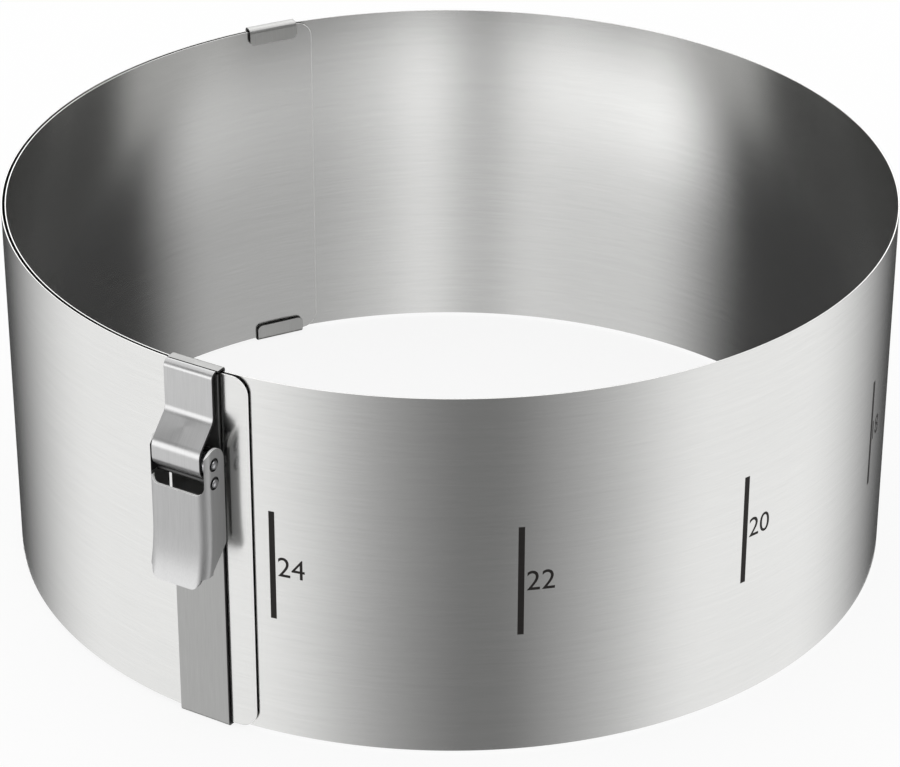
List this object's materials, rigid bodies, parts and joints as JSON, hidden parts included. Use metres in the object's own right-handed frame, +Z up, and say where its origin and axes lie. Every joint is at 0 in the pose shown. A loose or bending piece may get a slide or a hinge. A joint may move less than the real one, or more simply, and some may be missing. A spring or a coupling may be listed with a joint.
{
  "type": "adjustable cake ring",
  "caption": "Adjustable round baking ring: a rolled steel strip whose ends overlap, held by a flip lever clamp and a sliding guide bar.",
  "frame": {"origin": "on the ring's axis, at the height of the lowest face, the clamp bar's folded foot", "axes": "+Z up along the ring's axis; -Y is the front, with the clamp at the front left, towards -X"},
  "size_m": [0.2408, 0.2402, 0.1038],
  "materials": {
    "band_steel": "fine lengthwise brushing, half bright",
    "bar_steel": "upright brushing, darker",
    "lever_steel": "upright brushing, satin",
    "rivet_steel": "turned, smooth"
  },
  "bodies": {
    "outer_end": {"band_outer_end": "band_steel", "outer_bar": "bar_steel", "inner_bar": "bar_steel", "spring_strap": "lever_steel"},
    "section_02": {"band_section_02": "band_steel"},
    "section_03": {"band_section_03": "band_steel"},
    "section_04": {"band_section_04": "band_steel"},
    "section_05": {"band_section_05": "band_steel"},
    "section_06": {"band_section_06": "band_steel"},
    "section_07": {"band_section_07": "band_steel"},
    "section_08": {"band_section_08": "band_steel"},
    "section_09": {"band_section_09": "band_steel"},
    "section_10": {"band_section_10": "band_steel"},
    "section_11": {"band_section_11": "band_steel"},
    "section_12": {"band_section_12": "band_steel"},
    "section_13": {"band_section_13": "band_steel"},
    "section_14": {"band_section_14": "band_steel"},
    "section_15": {"band_section_15": "band_steel"},
    "section_16": {"band_section_16": "band_steel"},
    "section_17": {"band_section_17": "band_steel"},
    "section_18": {"band_section_18": "band_steel"},
    "section_19": {"band_section_19": "band_steel"},
    "section_20": {"band_section_20": "band_steel"},
    "section_21": {"band_section_21": "band_steel"},
    "section_22": {"band_section_22": "band_steel"},
    "section_23": {"band_section_23": "band_steel"},
    "section_24": {"band_section_24": "band_steel"},
    "section_25": {"band_section_25": "band_steel"},
    "section_26": {"band_section_26": "band_steel"},
    "section_27": {"band_section_27": "band_steel"},
    "section_28": {"band_section_28": "band_steel"},
    "section_29": {"band_section_29": "band_steel"},
    "section_30": {"band_section_30": "band_steel"},
    "section_31": {"band_section_31": "band_steel"},
    "section_32": {"band_section_32": "band_steel"},
    "section_33": {"band_section_33": "band_steel"},
    "section_34": {"band_section_34": "band_steel"},
    "section_35": {"band_section_35": "band_steel"},
    "section_36": {"band_section_36": "band_steel"},
    "section_37": {"band_section_37": "band_steel"},
    "section_38": {"band_section_38": "band_steel"},
    "section_39": {"band_section_39": "band_steel"},
    "section_40": {"band_section_40": "band_steel"},
    "inner_end": {"band_inner_end": "band_steel", "guide_bar": "bar_steel"},
    "lever": {"clamp_lever": "lever_steel", "pivot_pin": "rivet_steel", "pivot_bush": "rivet_steel", "lever_pin": "rivet_steel"}
  },
  "joints": [
    {"name": "ring_adjust", "type": "hinge", "parent": "outer_end", "child": "section_02", "pos_m": [-0.07083, -0.09767, 0.0519], "axis": [0, 0, -1], "range_deg": [-2.4, 5.3]},
    {"name": "band_bend_02", "type": "hinge", "parent": "section_02", "child": "section_03", "pos_m": [-0.08953, -0.08071, 0.0519], "axis": [0, 0, -1], "range_deg": [-2.6, 5.6]},
    {"name": "band_bend_03", "type": "hinge", "parent": "section_03", "child": "section_04", "pos_m": [-0.10429, -0.06023, 0.0519], "axis": [0, 0, -1], "range_deg": [-2.6, 5.6]},
    {"name": "band_bend_04", "type": "hinge", "parent": "section_04", "child": "section_05", "pos_m": [-0.11446, -0.03712, 0.0519], "axis": [0, 0, -1], "range_deg": [-2.6, 5.6]},
    {"name": "band_bend_05", "type": "hinge", "parent": "section_05", "child": "section_06", "pos_m": [-0.11959, -0.0124, 0.0519], "axis": [0, 0, -1], "range_deg": [-2.6, 5.6]},
    {"name": "band_bend_06", "type": "hinge", "parent": "section_06", "child": "section_07", "pos_m": [-0.11946, 0.01285, 0.0519], "axis": [0, 0, -1], "range_deg": [-2.6, 5.6]},
    {"name": "band_bend_07", "type": "hinge", "parent": "section_07", "child": "section_08", "pos_m": [-0.11407, 0.03751, 0.0519], "axis": [0, 0, -1], "range_deg": [-2.6, 5.6]},
    {"name": "band_bend_08", "type": "hinge", "parent": "section_08", "child": "section_09", "pos_m": [-0.10365, 0.06051, 0.0519], "axis": [0, 0, -1], "range_deg": [-2.6, 5.6]},
    {"name": "band_bend_09", "type": "hinge", "parent": "section_09", "child": "section_10", "pos_m": [-0.08866, 0.08082, 0.0519], "axis": [0, 0, -1], "range_deg": [-2.6, 5.6]},
    {"name": "band_bend_10", "type": "hinge", "parent": "section_10", "child": "section_11", "pos_m": [-0.06976, 0.09756, 0.0519], "axis": [0, 0, -1], "range_deg": [-2.6, 5.6]},
    {"name": "band_bend_11", "type": "hinge", "parent": "section_11", "child": "section_12", "pos_m": [-0.04779, 0.10999, 0.0519], "axis": [0, 0, -1], "range_deg": [-2.6, 5.6]},
    {"name": "band_bend_12", "type": "hinge", "parent": "section_12", "child": "section_13", "pos_m": [-0.02371, 0.11756, 0.0519], "axis": [0, 0, -1], "range_deg": [-2.6, 5.6]},
    {"name": "band_bend_13", "type": "hinge", "parent": "section_13", "child": "section_14", "pos_m": [0.00143, 0.11993, 0.0519], "axis": [0, 0, -1], "range_deg": [-2.6, 5.6]},
    {"name": "band_bend_14", "type": "hinge", "parent": "section_14", "child": "section_15", "pos_m": [0.02651, 0.117, 0.0519], "axis": [0, 0, -1], "range_deg": [-2.6, 5.6]},
    {"name": "band_bend_15", "type": "hinge", "parent": "section_15", "child": "section_16", "pos_m": [0.05042, 0.1089, 0.0519], "axis": [0, 0, -1], "range_deg": [-2.6, 5.6]},
    {"name": "band_bend_16", "type": "hinge", "parent": "section_16", "child": "section_17", "pos_m": [0.0721, 0.09597, 0.0519], "axis": [0, 0, -1], "range_deg": [-2.6, 5.6]},
    {"name": "band_bend_17", "type": "hinge", "parent": "section_17", "child": "section_18", "pos_m": [0.09061, 0.0788, 0.0519], "axis": [0, 0, -1], "range_deg": [-2.6, 5.6]},
    {"name": "band_bend_18", "type": "hinge", "parent": "section_18", "child": "section_19", "pos_m": [0.10511, 0.05814, 0.0519], "axis": [0, 0, -1], "range_deg": [-2.6, 5.6]},
    {"name": "band_bend_19", "type": "hinge", "parent": "section_19", "child": "section_20", "pos_m": [0.11498, 0.0349, 0.0519], "axis": [0, 0, -1], "range_deg": [-2.6, 5.6]},
    {"name": "band_bend_20", "type": "hinge", "parent": "section_20", "child": "section_21", "pos_m": [0.11976, 0.01011, 0.0519], "axis": [0, 0, -1], "range_deg": [-2.6, 5.6]},
    {"name": "band_bend_21", "type": "hinge", "parent": "section_21", "child": "section_22", "pos_m": [0.11925, -0.01513, 0.0519], "axis": [0, 0, -1], "range_deg": [-2.6, 5.6]},
    {"name": "band_bend_22", "type": "hinge", "parent": "section_22", "child": "section_23", "pos_m": [0.11346, -0.03971, 0.0519], "axis": [0, 0, -1], "range_deg": [-2.6, 5.6]},
    {"name": "band_bend_23", "type": "hinge", "parent": "section_23", "child": "section_24", "pos_m": [0.10266, -0.06252, 0.0519], "axis": [0, 0, -1], "range_deg": [-2.6, 5.6]},
    {"name": "band_bend_24", "type": "hinge", "parent": "section_24", "child": "section_25", "pos_m": [0.08731, -0.08257, 0.0519], "axis": [0, 0, -1], "range_deg": [-2.6, 5.6]},
    {"name": "band_bend_25", "type": "hinge", "parent": "section_25", "child": "section_26", "pos_m": [0.06811, -0.09896, 0.0519], "axis": [0, 0, -1], "range_deg": [-2.6, 5.6]},
    {"name": "band_bend_26", "type": "hinge", "parent": "section_26", "child": "section_27", "pos_m": [0.0459, -0.11096, 0.0519], "axis": [0, 0, -1], "range_deg": [-2.6, 5.6]},
    {"name": "band_bend_27", "type": "hinge", "parent": "section_27", "child": "section_28", "pos_m": [0.02167, -0.11804, 0.0519], "axis": [0, 0, -1], "range_deg": [-2.6, 5.6]},
    {"name": "band_bend_28", "type": "hinge", "parent": "section_28", "child": "section_29", "pos_m": [-0.00351, -0.11988, 0.0519], "axis": [0, 0, -1], "range_deg": [-2.6, 5.6]},
    {"name": "band_bend_29", "type": "hinge", "parent": "section_29", "child": "section_30", "pos_m": [-0.02852, -0.11639, 0.0519], "axis": [0, 0, -1], "range_deg": [-2.6, 5.6]},
    {"name": "band_bend_30", "type": "hinge", "parent": "section_30", "child": "section_31", "pos_m": [-0.05223, -0.10774, 0.0519], "axis": [0, 0, -1], "range_deg": [-2.6, 5.6]},
    {"name": "band_bend_31", "type": "hinge", "parent": "section_31", "child": "section_32", "pos_m": [-0.07361, -0.0943, 0.0519], "axis": [0, 0, -1], "range_deg": [-2.6, 5.6]},
    {"name": "band_bend_32", "type": "hinge", "parent": "section_32", "child": "section_33", "pos_m": [-0.09168, -0.07668, 0.0519], "axis": [0, 0, -1], "range_deg": [-2.6, 5.6]},
    {"name": "band_bend_33", "type": "hinge", "parent": "section_33", "child": "section_34", "pos_m": [-0.10565, -0.05565, 0.0519], "axis": [0, 0, -1], "range_deg": [-2.6, 5.6]},
    {"name": "band_bend_34", "type": "hinge", "parent": "section_34", "child": "section_35", "pos_m": [-0.1149, -0.03216, 0.0519], "axis": [0, 0, -1], "range_deg": [-2.6, 5.6]},
    {"name": "band_bend_35", "type": "hinge", "parent": "section_35", "child": "section_36", "pos_m": [-0.119, -0.00725, 0.0519], "axis": [0, 0, -1], "range_deg": [-2.6, 5.6]},
    {"name": "band_bend_36", "type": "hinge", "parent": "section_36", "child": "section_37", "pos_m": [-0.11777, 0.01797, 0.0519], "axis": [0, 0, -1], "range_deg": [-2.6, 5.6]},
    {"name": "band_bend_37", "type": "hinge", "parent": "section_37", "child": "section_38", "pos_m": [-0.11127, 0.04236, 0.0519], "axis": [0, 0, -1], "range_deg": [-2.6, 5.6]},
    {"name": "band_bend_38", "type": "hinge", "parent": "section_38", "child": "section_39", "pos_m": [-0.09978, 0.06485, 0.0519], "axis": [0, 0, -1], "range_deg": [-2.6, 5.6]},
    {"name": "band_bend_39", "type": "hinge", "parent": "section_39", "child": "section_40", "pos_m": [-0.08383, 0.08441, 0.0519], "axis": [0, 0, -1], "range_deg": [-2.6, 5.6]},
    {"name": "band_bend_40", "type": "hinge", "parent": "section_40", "child": "inner_end", "pos_m": [-0.06411, 0.10018, 0.0519], "axis": [0, 0, -1], "range_deg": [-2.6, 5.6]},
    {"name": "lever_flip", "type": "hinge", "parent": "outer_end", "child": "lever", "pos_m": [-0.06516, -0.10815, 0.0802], "axis": [-0.8551, 0.5184, 0], "range_deg": [0, 105]}
  ],
  "couplings": [
    {"joint": "band_bend_02", "follows": "ring_adjust", "ratio": 1.0009},
    {"joint": "band_bend_03", "follows": "ring_adjust", "ratio": 1.0018},
    {"joint": "band_bend_04", "follows": "ring_adjust", "ratio": 1.0028},
    {"joint": "band_bend_05", "follows": "ring_adjust", "ratio": 1.0037},
    {"joint": "band_bend_06", "follows": "ring_adjust", "ratio": 1.0046},
    {"joint": "band_bend_07", "follows": "ring_adjust", "ratio": 1.0055},
    {"joint": "band_bend_08", "follows": "ring_adjust", "ratio": 1.0065},
    {"joint": "band_bend_09", "follows": "ring_adjust", "ratio": 1.0074},
    {"joint": "band_bend_10", "follows": "ring_adjust", "ratio": 1.0083},
    {"joint": "band_bend_11", "follows": "ring_adjust", "ratio": 1.0092},
    {"joint": "band_bend_12", "follows": "ring_adjust", "ratio": 1.0102},
    {"joint": "band_bend_13", "follows": "ring_adjust", "ratio": 1.0111},
    {"joint": "band_bend_14", "follows": "ring_adjust", "ratio": 1.012},
    {"joint": "band_bend_15", "follows": "ring_adjust", "ratio": 1.013},
    {"joint": "band_bend_16", "follows": "ring_adjust", "ratio": 1.0139},
    {"joint": "band_bend_17", "follows": "ring_adjust", "ratio": 1.0148},
    {"joint": "band_bend_18", "follows": "ring_adjust", "ratio": 1.0157},
    {"joint": "band_bend_19", "follows": "ring_adjust", "ratio": 1.0167},
    {"joint": "band_bend_20", "follows": "ring_adjust", "ratio": 1.0176},
    {"joint": "band_bend_21", "follows": "ring_adjust", "ratio": 1.0185},
    {"joint": "band_bend_22", "follows": "ring_adjust", "ratio": 1.0194},
    {"joint": "band_bend_23", "follows": "ring_adjust", "ratio": 1.0204},
    {"joint": "band_bend_24", "follows": "ring_adjust", "ratio": 1.0213},
    {"joint": "band_bend_25", "follows": "ring_adjust", "ratio": 1.0222},
    {"joint": "band_bend_26", "follows": "ring_adjust", "ratio": 1.0231},
    {"joint": "band_bend_27", "follows": "ring_adjust", "ratio": 1.024},
    {"joint": "band_bend_28", "follows": "ring_adjust", "ratio": 1.025},
    {"joint": "band_bend_29", "follows": "ring_adjust", "ratio": 1.0259},
    {"joint": "band_bend_30", "follows": "ring_adjust", "ratio": 1.0268},
    {"joint": "band_bend_31", "follows": "ring_adjust", "ratio": 1.0277},
    {"joint": "band_bend_32", "follows": "ring_adjust", "ratio": 1.0287},
    {"joint": "band_bend_33", "follows": "ring_adjust", "ratio": 1.0296},
    {"joint": "band_bend_34", "follows": "ring_adjust", "ratio": 1.0305},
    {"joint": "band_bend_35", "follows": "ring_adjust", "ratio": 1.0314},
    {"joint": "band_bend_36", "follows": "ring_adjust", "ratio": 1.0324},
    {"joint": "band_bend_37", "follows": "ring_adjust", "ratio": 1.0333},
    {"joint": "band_bend_38", "follows": "ring_adjust", "ratio": 1.0342},
    {"joint": "band_bend_39", "follows": "ring_adjust", "ratio": 1.0352},
    {"joint": "band_bend_40", "follows": "ring_adjust", "ratio": 1.0361}
  ]
}
